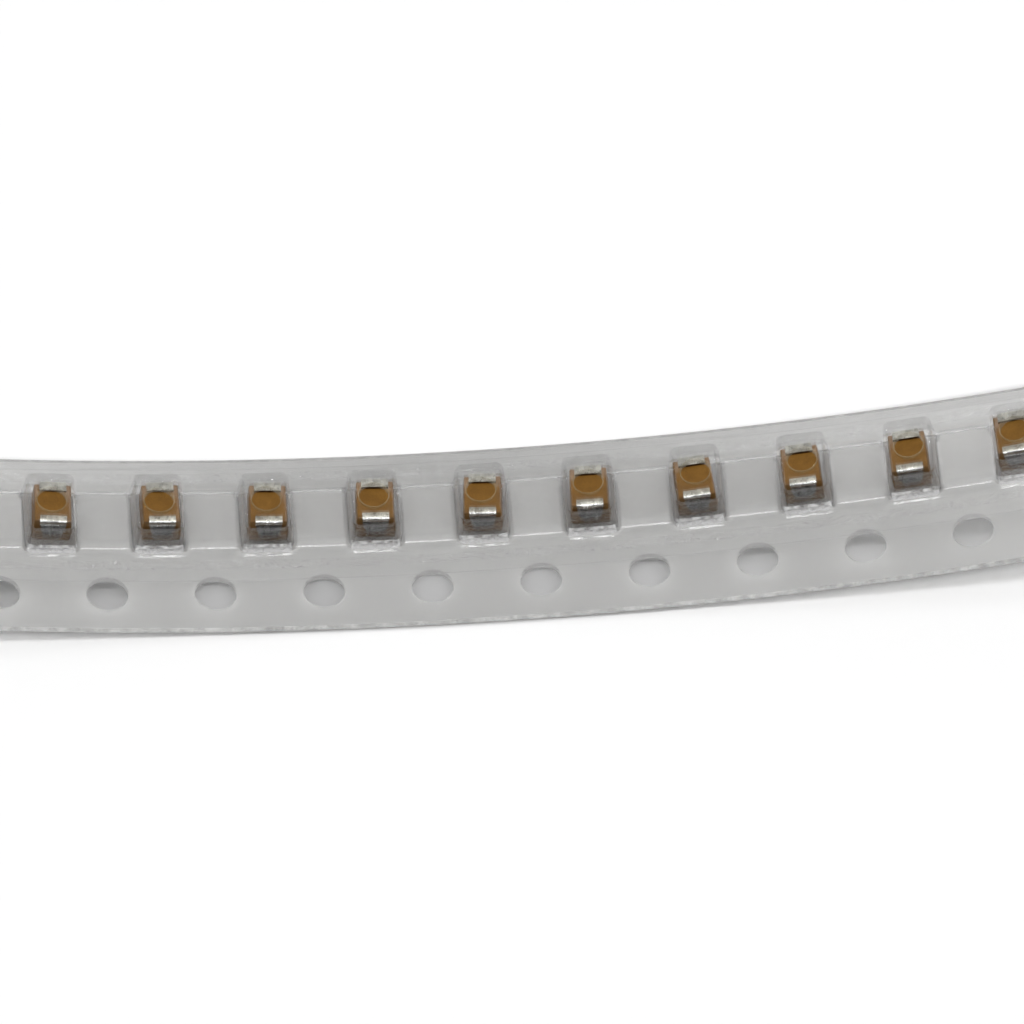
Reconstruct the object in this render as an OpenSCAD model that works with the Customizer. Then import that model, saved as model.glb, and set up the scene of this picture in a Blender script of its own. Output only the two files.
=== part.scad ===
// Curled strip of clear 8 mm embossed carrier tape with a chip component in
// every pocket and a cover tape sealed over the pocket mouths.
// X runs along the strip, Y across it (sprocket holes on the -Y side), +Z up.
// The strip lies pocket side up on the lowest line of its curl, and the origin
// is on the surface it lies on, below the middle of the strip.

/* [Carrier tape] */
// Width of the carrier tape
tape_w = 8.0; // [7.9:0.05:8.3]
// Thickness of the plastic sheet
sheet_t = 0.25; // [0.22:0.01:0.28]
// Distance from one sprocket hole to the next, and from one pocket to the next
pitch = 4.0; // [3.9:0.05:4.1]
// Diameter of the sprocket holes
sprocket_d = 1.55; // [1.50:0.01:1.60]
// Centre line of the sprocket holes to the tape's near edge
sprocket_edge = 1.65; // [1.65:0.01:1.85]
// Centre line of the sprocket holes to the centre line of the pockets
pocket_row = 3.5; // [3.45:0.01:3.55]
// Pockets' offset along the tape from midway between two sprocket holes
pocket_offset = 0.035; // [0:0.005:0.05]
// Radius of the curl at the upper face of the sheet
curl_r = 128; // [100:1:300]

/* [Pockets] */
// Inside depth of a pocket, from the sheet's lower face
pocket_depth = 1.25; // [1.20:0.01:1.30]
// Thickness of a pocket's ceiling
ceiling_t = 0.20; // [0.16:0.01:0.24]
// Inside length of a pocket at its ceiling, across the tape
pocket_l = 2.38; // [2.36:0.01:2.40]
// Inside width of a pocket at its ceiling, along the tape
pocket_w = 1.62; // [1.60:0.01:1.63]
// Outside length of a pocket at its ceiling, across the tape
bulge_l = 2.62; // [2.58:0.01:2.66]
// Outside width of a pocket at its ceiling, along the tape
bulge_w = 1.77; // [1.76:0.01:1.80]
// How much wider a pocket is at the sheet than at its ceiling, each side
draft_w = 0.11; // [0.10:0.01:0.13]
// How much longer a pocket is at the sheet than at its ceiling, each end
draft_l = 0.20; // [0.16:0.01:0.22]
// Radius where a pocket's outside meets the sheet
root_r = 0.12; // [0.08:0.01:0.16]
// Diameter of the hole in a pocket's ceiling
ceiling_hole_d = 1.10; // [1.00:0.01:1.14]
// How far the web between the pockets stands above the sheet
web_rise = 0.12; // [0.06:0.01:0.16]
// Length of that raised web across the tape
web_l = 2.86; // [2.70:0.01:2.95]

/* [Cover tape] */
// Width of the cover tape
cover_w = 5.3; // [5.2:0.05:5.4]
// Thickness of the cover tape
cover_t = 0.06; // [0.05:0.005:0.08]
// Near edge of the cover tape to the carrier tape's near edge
cover_edge = 2.38; // [2.35:0.01:2.50]

/* [Chips] */
// Length of a chip over its terminals
chip_l = 2.05; // [1.95:0.01:2.08]
// Width of a chip's moulded body
chip_w = 1.43; // [1.34:0.01:1.44]
// Height of a chip over its terminals
chip_h = 1.16; // [1.08:0.01:1.18]
// Width of a terminal
terminal_w = 1.0; // [0.90:0.01:1.10]
// Width of a terminal where it enters the moulding
root_w = 0.70; // [0.60:0.01:0.80]
// Thickness of a terminal's metal strip
terminal_t = 0.11; // [0.09:0.01:0.12]
// Length of the far terminal's foot on the mounting face
foot_l = 0.50; // [0.40:0.01:0.55]
// Length of the near terminal's foot on the mounting face
near_foot_l = 0.33; // [0.28:0.01:0.55]
// Slope of the moulded body's sides away from the parting line, each side
body_draft = 0.04; // [0.02:0.01:0.05]

/* [Hidden] */

pockets = 12;                                  // pockets in the strip
arc_l = pockets * pitch;                       // length along the curl
arc_deg = arc_l / curl_r * 180 / PI;           // angle that the curl turns through
axis_z = curl_r + sheet_t + cover_t;           // height of the curl's axis
hole_y = sprocket_edge - tape_w / 2;           // sprocket row
row_y = hole_y + pocket_row;                   // pocket row
top_h = pocket_depth - sheet_t + ceiling_t;    // ceiling's upper face above the sheet
ceil_h = pocket_depth - sheet_t;               // ceiling's lower face above the sheet

// Where each chip lies in its pocket: along the tape, across the tape, turned.
// The pockets leave it about a tenth of a millimetre each way.
lie = [
    [ 0.085, 0.06, -1.0], [ 0.095, 0.02,  0.6], [ 0.085, 0.14, -2.3], [ 0.105, 0.15,  0.4],
    [ 0.085, 0.07, -1.3], [ 0.065, 0.07, -2.0], [ 0.055, 0.05, -3.2], [ 0.015, 0.06, -1.2],
    [-0.075, 0.03,  3.4], [-0.085, 0.04,  1.4], [-0.075, 0.02,  0.8], [-0.095, 0.14,  2.0]
];

// ---- placing along the curl --------------------------------------------------

// Puts its children on the sheet's upper face at a distance s along the strip
// from its middle, with Z pointing to the curl's axis.
module along(s) {
    translate([0, 0, axis_z])
        rotate([0, -s / curl_r * 180 / PI, 0])
            translate([0, 0, -curl_r])
                children();
}

// Sweeps a cross-section given as [radius, -y] points round the whole curl.
module curl() {
    translate([0, 0, axis_z])
        rotate([90, 0, 0])
            rotate([0, 0, 270 - arc_deg / 2])
                rotate_extrude(angle = arc_deg, $fn = 720)
                    children();
}

function pocket_s(i) = (i - (pockets - 1) / 2) * pitch + pocket_offset;   // i from 0
function hole_s(i) = (i - pockets / 2) * pitch;           // i from 0 to pockets

// ---- lofted pocket shapes ------------------------------------------------------

corner_steps = 3;

// Outline of a rectangle with rounded corners, half sizes a and b, at height h.
function outline(a, b, r, h) = [
    for (q = [0:3]) for (k = [0:corner_steps])
        let (ang = 90 * q + 90 * k / corner_steps,
             cx = (q == 0 || q == 3 ? 1 : -1) * (a - r),
             cy = (q < 2 ? 1 : -1) * (b - r))
        [cx + r * cos(ang), cy + r * sin(ang), h]
];

// Closed solid through a list of outlines of equal length, lowest first.
module loft(rings) {
    n = len(rings[0]);
    m = len(rings);
    polyhedron(
        points = [for (ring = rings) each ring],
        faces = concat(
            [[for (i = [0:n - 1]) i]],
            [for (j = [0:m - 2]) for (i = [0:n - 1])
                [j * n + i, (j + 1) * n + i, (j + 1) * n + (i + 1) % n]],
            [for (j = [0:m - 2]) for (i = [0:n - 1])
                [j * n + i, (j + 1) * n + (i + 1) % n, j * n + (i + 1) % n]],
            [[for (i = [n - 1:-1:0]) (m - 1) * n + i]]
        )
    );
}

// Outside of one pocket: a drafted, round-cornered bulge that flares into the
// sheet below and rounds over into its ceiling above.
module bulge() {
    crown_r = 0.16;
    function grow(h) = (top_h - h) / top_h;
    function ring(h, extra) =
        outline(bulge_w / 2 + draft_w * grow(h) + extra,
                bulge_l / 2 + draft_l * grow(h) + extra, 0.28 + extra, h);
    loft([
        ring(-sheet_t / 3, root_r),
        ring(0, root_r),
        ring(root_r * (1 - cos(40)), root_r * (1 - sin(40))),
        ring(root_r, 0),
        ring(top_h - crown_r, 0),
        ring(top_h - crown_r * (1 - sin(50)), -crown_r * (1 - cos(50))),
        ring(top_h, -crown_r)
    ]);
}

// Inside of one pocket, open below.
module hollow() {
    crown_r = 0.08;
    function grow(h) = (ceil_h - h) / pocket_depth;
    function ring(h, extra) =
        outline(pocket_w / 2 + draft_w * grow(h) + extra,
                pocket_l / 2 + draft_l * grow(h) + extra, 0.18 + extra, h);
    loft([
        ring(-sheet_t - 0.2, 0.05),
        ring(-sheet_t, 0.05),
        ring(-sheet_t + 0.12, 0),
        ring(ceil_h - crown_r, 0),
        ring(ceil_h, -crown_r)
    ]);
}

// ---- tapes ---------------------------------------------------------------------

// Cross-section of the carrier tape's sheet, with the raised web that runs from
// pocket to pocket. Radii grow away from the curl's axis, so up is inward.
module sheet_section() {
    r0 = curl_r;
    r1 = curl_r + sheet_t;
    e = tape_w / 2;
    slope_l = 0.14;
    a = -row_y + web_l / 2;
    b = -row_y - web_l / 2;
    polygon([
        [r0, e], [r0, a], [r0 - web_rise, a - slope_l], [r0 - web_rise, b + slope_l],
        [r0, b], [r0, -e],
        [r1, -e], [r1, b + 0.05], [r1 - web_rise, b + slope_l + 0.05],
        [r1 - web_rise, a - slope_l - 0.05], [r1, a - 0.05], [r1, e]
    ]);
}

module carrier_tape() {
    color([0.86, 0.88, 0.89, 0.55])
    difference() {
        union() {
            curl() sheet_section();
            for (i = [0:pockets - 1])
                along(pocket_s(i)) translate([0, row_y, 0]) bulge();
        }
        for (i = [0:pockets - 1])
            along(pocket_s(i)) translate([0, row_y, 0]) hollow();
        for (i = [0:pockets - 1])
            along(pocket_s(i))
                translate([0, row_y, ceil_h - 0.1])
                    cylinder(h = ceiling_t + 0.3, d = ceiling_hole_d, $fn = 64);
        // the first and last sprocket holes are cut in half by the tape's ends
        for (i = [0:pockets])
            along(hole_s(i))
                translate([0, hole_y, -sheet_t - 0.3])
                    cylinder(h = sheet_t + 0.6, d = sprocket_d, $fn = 96);
    }
}

module cover_tape() {
    far = -(cover_edge - tape_w / 2);
    color([0.90, 0.91, 0.92, 0.35])
    curl()
        polygon([
            [curl_r + sheet_t, far], [curl_r + sheet_t, far - cover_w],
            [curl_r + sheet_t + cover_t, far - cover_w], [curl_r + sheet_t + cover_t, far]
        ]);
}

// ---- chips ---------------------------------------------------------------------

body_h = chip_h - terminal_t;              // moulded body's height
body_l = chip_l - 2 * terminal_t;          // moulded body's length at the parting line
part_h = 0.48;                             // parting line above the body's lower face
bend_r = 0.20;                             // outer radius of a terminal's bend
seat_gap = 0.006;                          // between the chip and the cover tape
end_chamfer = bend_r - terminal_t - body_draft;   // clears the inside of the terminals' bends
side_chamfer = 0.02;                       // along the mounting face's long edges

// Puts a chip's own frame in pocket i: length along Y, lower face on the cover
// tape, mounting face up.
module in_pocket(i) {
    along(pocket_s(i) + lie[i][0])
        translate([0, row_y + lie[i][1], -sheet_t + seat_gap])
            rotate([0, 0, lie[i][2]])
                children();
}

// Side outline of the moulded body: half width w at the parting line, draft d,
// chamfer c at the mounting face, z up.
module drafted(w, d, c) {
    polygon([
        [-w + d * part_h / body_h * 1.2, 0], [w - d * part_h / body_h * 1.2, 0],
        [w, part_h], [w - d, body_h - c], [w - d - c, body_h],
        [-w + d + c, body_h], [-w + d, body_h - c], [-w, part_h]
    ]);
}

// Terminal strip in the chip's length-height plane, at the +Y end. It leaves the
// moulding at the parting line, climbs the end face and folds over onto the
// mounting face.
module strip_section(foot) {
    y1 = chip_l / 2;
    z1 = chip_h;
    union() {
        // foot on the mounting face
        translate([y1 - foot, z1 - terminal_t]) square([foot - bend_r, terminal_t]);
        // bend
        intersection() {
            translate([y1 - bend_r, z1 - bend_r]) square(bend_r);
            difference() {
                translate([y1 - bend_r, z1 - bend_r]) circle(bend_r, $fn = 48);
                translate([y1 - bend_r, z1 - bend_r]) circle(bend_r - terminal_t, $fn = 48);
            }
        }
        // tab up the end face
        translate([y1 - terminal_t, part_h]) square([terminal_t, z1 - bend_r - part_h]);
    }
}

// The strip's outline seen from the end: full width on the foot and the bend,
// narrowing down the end face to the width of its root.
module strip_outline() {
    a = terminal_w / 2;
    b = root_w / 2;
    z2 = chip_h - bend_r;
    polygon([[-b, part_h], [b, part_h], [a, z2], [a, chip_h + 0.1], [-a, chip_h + 0.1], [-a, z2]]);
}

module terminal_at_end(foot) {
    intersection() {
        rotate([90, 0, 90])
            translate([0, 0, -terminal_w / 2])
                linear_extrude(height = terminal_w) strip_section(foot);
        rotate([90, 0, 0])
            translate([0, 0, -chip_l])
                linear_extrude(height = chip_l) strip_outline();
    }
    // root held in the moulding
    translate([-root_w / 2, body_l / 2 - 0.16, part_h]) cube([root_w, 0.17, terminal_t]);
}

module chip_body(i) {
    color([0.58, 0.38, 0.13])
    in_pocket(i)
        difference() {
            intersection() {
                rotate([90, 0, 0]) translate([0, 0, -chip_l])
                    linear_extrude(height = 2 * chip_l) drafted(chip_w / 2, body_draft, side_chamfer);
                rotate([90, 0, 90]) translate([0, 0, -chip_w])
                    linear_extrude(height = 2 * chip_w) drafted(body_l / 2, body_draft, end_chamfer);
            }
            // pockets in the moulding that hold the roots of the terminals
            for (side = [-1, 1])
                mirror([0, side < 0 ? 1 : 0, 0])
                    translate([-root_w / 2, body_l / 2 - 0.16, part_h])
                        cube([root_w, 0.3, terminal_t]);
        }
}

module chip_anode(i) {
    color([0.78, 0.78, 0.76])
    in_pocket(i) terminal_at_end(foot_l);
}

module chip_cathode(i) {
    color([0.76, 0.77, 0.77])
    in_pocket(i) mirror([0, 1, 0]) terminal_at_end(near_foot_l);
}

// ---- nodes ---------------------------------------------------------------------

carrier_tape();
cover_tape();
chip_body(0);  // chip_01_body
chip_anode(0);  // chip_01_anode
chip_cathode(0);  // chip_01_cathode
chip_body(1);  // chip_02_body
chip_anode(1);  // chip_02_anode
chip_cathode(1);  // chip_02_cathode
chip_body(2);  // chip_03_body
chip_anode(2);  // chip_03_anode
chip_cathode(2);  // chip_03_cathode
chip_body(3);  // chip_04_body
chip_anode(3);  // chip_04_anode
chip_cathode(3);  // chip_04_cathode
chip_body(4);  // chip_05_body
chip_anode(4);  // chip_05_anode
chip_cathode(4);  // chip_05_cathode
chip_body(5);  // chip_06_body
chip_anode(5);  // chip_06_anode
chip_cathode(5);  // chip_06_cathode
chip_body(6);  // chip_07_body
chip_anode(6);  // chip_07_anode
chip_cathode(6);  // chip_07_cathode
chip_body(7);  // chip_08_body
chip_anode(7);  // chip_08_anode
chip_cathode(7);  // chip_08_cathode
chip_body(8);  // chip_09_body
chip_anode(8);  // chip_09_anode
chip_cathode(8);  // chip_09_cathode
chip_body(9);  // chip_10_body
chip_anode(9);  // chip_10_anode
chip_cathode(9);  // chip_10_cathode
chip_body(10);  // chip_11_body
chip_anode(10);  // chip_11_anode
chip_cathode(10);  // chip_11_cathode
chip_body(11);  // chip_12_body
chip_anode(11);  // chip_12_anode
chip_cathode(11);  // chip_12_cathode
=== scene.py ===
import math

import bmesh
import bpy
from mathutils import Matrix, Vector, noise
from mathutils.geometry import delaunay_2d_cdt


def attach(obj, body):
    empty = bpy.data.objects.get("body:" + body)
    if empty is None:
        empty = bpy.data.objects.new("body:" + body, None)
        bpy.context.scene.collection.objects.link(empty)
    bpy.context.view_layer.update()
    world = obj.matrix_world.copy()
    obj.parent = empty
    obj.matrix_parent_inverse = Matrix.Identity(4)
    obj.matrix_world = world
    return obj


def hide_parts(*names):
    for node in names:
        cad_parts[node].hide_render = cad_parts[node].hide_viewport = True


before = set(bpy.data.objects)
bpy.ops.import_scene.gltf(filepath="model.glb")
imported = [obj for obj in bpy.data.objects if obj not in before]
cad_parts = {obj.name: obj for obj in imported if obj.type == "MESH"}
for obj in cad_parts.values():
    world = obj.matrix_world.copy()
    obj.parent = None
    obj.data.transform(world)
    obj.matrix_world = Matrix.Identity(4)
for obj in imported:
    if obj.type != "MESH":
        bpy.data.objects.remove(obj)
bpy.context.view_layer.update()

MM = 0.001
ROOM_FRONT, ROOM_BACK, BROAD, STRIP = 0.22, 0.50, 0.75, 7.5
CLEAR_ALPHA = 0.9
FLAG = 0.52  # share of the light that the flag lets through
CURL_R = 128.0  # radius of the curl at the sheet's upper face
AXIS_Z = 128.31  # height of the curl's axis
SHEET_T = 0.25
HALF_L = 24.0  # half the strip's length along the curl
HALF_W = 4.0
HOLE_Y, HOLE_R = -2.35, 0.775
ROW_Y = 1.15
POCKETS = 12
PITCH = 4.0
POCKET_OFFSET = 0.035  # pockets against the sprocket holes, along the tape

# Where each chip lies in its pocket: along the tape, across it, turned (degrees)
LIE = [
    (0.085, 0.06, -1.0), (0.095, 0.02, 0.6), (0.085, 0.14, -2.3), (0.105, 0.15, 0.4),
    (0.085, 0.07, -1.3), (0.065, 0.07, -2.0), (0.055, 0.05, -3.2), (0.015, 0.06, -1.2),
    (-0.075, 0.03, 3.4), (-0.085, 0.04, 1.4), (-0.075, 0.02, 0.8), (-0.095, 0.14, 2.0),
]


def curl(s, y, h):
    """Strip coordinates in mm (along the sheet, across it, above its upper face) to the row frame in metres."""
    a, r = s / CURL_R, CURL_R - h
    return Vector((r * math.sin(a) * MM, y * MM, (AXIS_Z - r * math.cos(a)) * MM))


def cell_s(i):
    return (i - (POCKETS - 1) / 2) * PITCH


def pocket_s(i):
    return cell_s(i) + POCKET_OFFSET


def table(points):
    """A piecewise linear function through (x, value) pairs."""

    def at(x):
        if x <= points[0][0]:
            return points[0][1]
        for (x0, v0), (x1, v1) in zip(points, points[1:]):
            if x <= x1:
                return v0 + (v1 - v0) * (x - x0) / (x1 - x0)
        return points[-1][1]

    return at


def lump(s, y, size, seed):
    """Smooth seeded noise from -1 to 1 with features of about `size` mm."""
    return noise.noise(Vector((s / size, y / size, seed)))


# ---- camera and stage --------------------------------------------------------

scene = bpy.context.scene
scene.view_settings.view_transform = "Standard"

cam_data = bpy.data.cameras.new("camera")
cam = bpy.data.objects.new("camera", cam_data)
scene.collection.objects.link(cam)
right = Vector((0.99759, -0.06932, 0.0))
forward = Vector((0.04416, 0.63547, -0.77086)).normalized()
up = right.cross(forward).normalized()
aim = Vector((0, 0, 1.0)) + right * 3.081 + up * 0.467
cam.matrix_world = Matrix.Translation((aim - forward * 900.0) * MM) @ Matrix(
    [(right.x, up.x, -forward.x), (right.y, up.y, -forward.y), (right.z, up.z, -forward.z)]
).to_4x4()
cam_data.sensor_width = 36.0
cam_data.lens = 36.0 * 900.0 / 37.723
cam_data.clip_start = 0.05
cam_data.clip_end = 50.0
scene.camera = cam


def new_material(name):
    m = bpy.data.materials.new(name)
    m.use_nodes = True
    m.node_tree.nodes.clear()
    return m


class Nodes:
    """A short way to write a material's node tree."""

    def __init__(self, tree):
        self.t = tree

    def add(self, kind, inputs=None, **props):
        n = self.t.nodes.new(kind)
        for k, v in props.items():
            setattr(n, k, v)
        for k, v in (inputs or {}).items():
            self.put(n.inputs[k], v)
        return n

    def put(self, socket, v):
        if isinstance(v, bpy.types.NodeSocket):
            self.t.links.new(v, socket)
        else:
            socket.default_value = v

    def math(self, op, a, b=0.0, clamp=False):
        n = self.t.nodes.new("ShaderNodeMath")
        n.operation, n.use_clamp = op, clamp
        self.put(n.inputs[0], a)
        self.put(n.inputs[1], b)
        return n.outputs[0]

    def noise(self, vec, scale, detail=2.0, rough=0.5):
        n = self.add("ShaderNodeTexNoise", {"Vector": vec, "Scale": scale, "Detail": detail, "Roughness": rough})
        return n.outputs["Fac"]

    def ramp(self, fac, stops):
        n = self.t.nodes.new("ShaderNodeValToRGB")
        self.put(n.inputs["Fac"], fac)
        e = n.color_ramp.elements
        while len(e) > 1:
            e.remove(e[-1])
        e[0].position, e[0].color = stops[0][0], stops[0][1]
        for p, c in stops[1:]:
            k = e.new(p)
            k.color = c
        return n.outputs["Color"]

    def remap(self, v, a, b, c, d, smooth=False):
        n = self.t.nodes.new("ShaderNodeMapRange")
        if smooth:
            n.interpolation_type = "SMOOTHSTEP"
        for k, x in zip(("Value", "From Min", "From Max", "To Min", "To Max"), (v, a, b, c, d)):
            self.put(n.inputs[k], x)
        return n.outputs["Result"]


def grey(v, a=1.0):
    return (v, v, v, a)


def make_floor():
    bpy.ops.mesh.primitive_plane_add(size=12.0, location=(0, 0, -0.00005))
    floor = bpy.context.object
    floor.name = "floor"
    m = new_material("floor_paper")
    n = Nodes(m.node_tree)
    out = n.add("ShaderNodeOutputMaterial")
    d = n.add("ShaderNodeBsdfDiffuse", {"Color": grey(0.86), "Roughness": 0.0})
    n.t.links.new(d.outputs[0], out.inputs["Surface"])
    floor.data.materials.append(m)
    return floor


make_floor()


def make_flag():
    """A studio flag just over the paper: it keeps the light off the paper under the strip, and nothing sees it."""
    n = 480
    # the light that each sprocket hole lets through to the paper is evened out: hole, change of softness
    even = {-5: 0.05, -4: 0.06, -3: 0.067, -2: 0.05, -1: 0.145, 0: 0.074, 1: 0.074, 2: 0.013, 3: -0.085, 4: -0.31, 5: -0.433}
    spots = []
    for i, change in even.items():
        p = curl(i * PITCH, HOLE_Y, -0.12)
        spots.append((p.x / MM + 0.057 * p.z / MM, HOLE_Y + 0.824 * p.z / MM, change))
    bm = bmesh.new()
    soft = bm.verts.layers.float.new("soft")
    rows = []
    for i in range(n + 1):
        s = -HALF_L + 2 * HALF_L * i / n
        p = curl(s, 0.0, -0.31)
        lift_ = p.z / MM  # the strip's height over the paper here
        shift = 0.824 * lift_
        near, far = -HALF_W + shift, HALF_W + shift + 0.22
        blur = 0.12 + 0.10 * lift_
        far_soft = 1.30 + 0.005 * abs(s)
        marks = [(near - blur, 0.0), (near, 0.75), (near + blur, 1.10)]
        marks += [(near + 0.65 + 0.1 * k, 1.10 - 0.10 * min(1.0, (0.35 + 0.1 * k) / 1.3)) for k in range(21)]
        marks += [(far - 1.6, 1.0), (far - 1.0, far_soft), (far - blur, far_soft), (far, 0.85), (far + blur, 0.0)]
        x = p.x / MM + 0.057 * (lift_ + 0.3)
        row = []
        for y, v_ in marks:
            for sx, sy, change in spots:
                r = math.hypot(x - sx, y - sy)
                v_ += change * min(1.0, max(0.0, (HOLE_R + 0.06 - r) / 0.16))
            q = bm.verts.new((x * MM, y * MM, -0.00002))
            q[soft] = v_
            row.append(q)
        rows.append(row)
    for r0, r1 in zip(rows, rows[1:]):
        for k in range(len(r0) - 1):
            bm.faces.new((r0[k], r1[k], r1[k + 1], r0[k + 1]))
    me = bpy.data.meshes.new("flag")
    bm.to_mesh(me)
    bm.free()
    o = bpy.data.objects.new("flag", me)
    scene.collection.objects.link(o)
    m = new_material("flag_scrim")
    k = Nodes(m.node_tree)
    o_ = k.add("ShaderNodeOutputMaterial")
    at = k.add("ShaderNodeAttribute", attribute_name="soft")
    t = k.add("ShaderNodeBsdfTransparent", {"Color": k.remap(at.outputs["Fac"], 0.0, 2.0, 1.0, 2.0 * FLAG - 1.0)})
    k.t.links.new(t.outputs[0], o_.inputs["Surface"])
    me.materials.append(m)
    o.visible_camera = False
    o.visible_glossy = False
    o.visible_transmission = False
    o.visible_volume_scatter = False


make_flag()

world = bpy.data.worlds.new("studio")
scene.world = world
world.use_nodes = True
wt = world.node_tree
wt.nodes.clear()
w = Nodes(wt)
w_out = w.add("ShaderNodeOutputWorld")
coord = w.add("ShaderNodeTexCoord")
split = w.add("ShaderNodeSeparateXYZ", {"Vector": coord.outputs["Generated"]})
dz = split.outputs["Z"]
zc = w.math("MAXIMUM", dz, 0.02)
u = w.math("DIVIDE", split.outputs["X"], zc)
v = w.math("DIVIDE", split.outputs["Y"], zc)


def band(x, lo, hi, soft):
    a = w.remap(x, lo - soft, lo + soft, 0.0, 1.0, True)
    b = w.remap(x, hi - soft, hi + soft, 1.0, 0.0, True)
    return w.math("MULTIPLY", a, b)


# the studio: a soft grey room, darker in front, a broad soft box overhead and a narrow one just in front of it
room = w.remap(v, -0.95, -0.55, ROOM_FRONT, ROOM_BACK, True)
broad = w.math("MULTIPLY", band(u, -1.5, 1.5, 0.25), band(v, -0.62, 0.42, 0.12))
strip = w.math("MULTIPLY", band(u, -1.1, 1.3, 0.08), band(v, -0.46, -0.30, 0.02))
above = w.remap(dz, 0.02, 0.10, 0.0, 1.0)
lit = w.math("ADD", w.math("MULTIPLY", broad, BROAD), w.math("MULTIPLY", strip, STRIP))
level = w.math("ADD", room, w.math("MULTIPLY", above, lit))
bg = w.add("ShaderNodeBackground", {"Color": level, "Strength": 1.0})
wt.links.new(bg.outputs[0], w_out.inputs["Surface"])


# ---- carrier tape --------------------------------------------------------------

TOP = table([
    (-4.0, 0.0), (-1.24, 0.0), (-1.18, 0.008), (-1.08, 0.016), (-0.96, 0.014), (-0.86, 0.006), (-0.80, 0.0),
    (-0.31, 0.0), (-0.28, 0.006), (-0.25, 0.022), (-0.20, 0.052), (-0.16, 0.070), (-0.12, 0.080),
    (-0.02, 0.097), (0.08, 0.110), (0.18, 0.118), (0.26, 0.120),
    (2.41, 0.120), (2.44, 0.115), (2.47, 0.100), (2.53, 0.040), (2.56, 0.014), (2.60, 0.002), (2.64, 0.0),
    (2.93, 0.0), (2.99, 0.008), (3.09, 0.015), (3.21, 0.015), (3.31, 0.008), (3.37, 0.0), (4.0, 0.0),
])
TOP_LINES = [
    -4.0, -3.97, -3.9, -3.75, -3.5, -3.3, -3.1, -2.9, -2.7, -2.5, -2.35, -2.2, -2.0, -1.8, -1.6, -1.45, -1.35,
    -1.24, -1.18, -1.08, -0.96, -0.86, -0.80, -0.76, -0.72, -0.69, -0.66, -0.635, -0.61, -0.585, -0.56, -0.53, -0.505, -0.48, -0.44, -0.40, -0.35, -0.31, -0.28, -0.25, -0.20, -0.16, -0.12,
    -0.02, 0.08, 0.18, 0.26, 0.4, 0.6, 0.8, 1.0, 1.2, 1.4, 1.6, 1.8, 2.0, 2.2, 2.32,
    2.41, 2.44, 2.47, 2.53, 2.56, 2.60, 2.64, 2.72, 2.82, 2.93, 2.99, 3.09, 3.21, 3.31, 3.37, 3.5, 3.65, 3.8, 3.92, 3.97, 4.0,
]
UNDER = table([
    (-4.0, -0.25), (-0.26, -0.25), (-0.23, -0.244), (-0.12, -0.146), (-0.09, -0.132), (-0.06, -0.130),
    (2.36, -0.130), (2.39, -0.132), (2.42, -0.146), (2.53, -0.244), (2.56, -0.25), (4.0, -0.25),
])
UNDER_LINES = [
    -4.0, -3.97, -3.9, -3.75, -3.4, -3.1, -2.8, -2.5, -2.35, -2.2, -1.9, -1.6, -1.4, -1.2, -1.0, -0.8, -0.6, -0.45, -0.35,
    -0.26, -0.23, -0.19, -0.15, -0.12, -0.09, -0.06, 0.1, 0.3, 0.6, 0.9, 1.15, 1.4, 1.7, 2.0, 2.2,
    2.36, 2.39, 2.42, 2.46, 2.49, 2.53, 2.56, 2.65, 2.8, 3.0, 3.2, 3.4, 3.6, 3.8, 3.92, 3.97, 4.0,
]


def wave(s, y):
    """The sheet isn't dead flat: a slow ripple left by forming and winding."""
    return 0.006 * lump(s, y, 2.6, 3.1) + 0.0025 * lump(s, y, 0.9, 7.7)


def seal_grain(s, y):
    """The heat seal's fine, broken texture along its two lines."""
    on = max(0.0, 1 - abs(y + 1.02) / 0.2) + max(0.0, 1 - abs(y - 3.15) / 0.2)
    return on * (0.010 * lump(s, y, 0.16, 1.3) + 0.006 * lump(s * 0.5, y, 0.08, 4.9)) if on > 0 else 0.0


BEAD = table([(-0.69, 0.0), (-0.66, 0.002), (-0.585, 0.046), (-0.56, 0.046), (-0.53, 0.012), (-0.52, 0.012), (-0.475, 0.038), (-0.40, 0.038)])


def draw_bead(s, y):
    """The low, uneven bead that forming leaves on the sheet in front of every pocket."""
    if not -0.78 < y < -0.3999:
        return 0.0
    x = (s - POCKET_OFFSET) % PITCH - PITCH / 2
    side = min(1.0, max(0.0, (1.00 - abs(x)) / 0.12))
    return side * BEAD(y + 0.016 * lump(s, 0.0, 0.5, 15.5)) * (1.0 + 0.35 * lump(s, y, 0.33, 14.2))


def top_h(s, y):
    return TOP(y) + wave(s, y) + seal_grain(s, y) + draw_bead(s, y)


def under_h(s, y):
    return UNDER(y) + wave(s, y)


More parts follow.
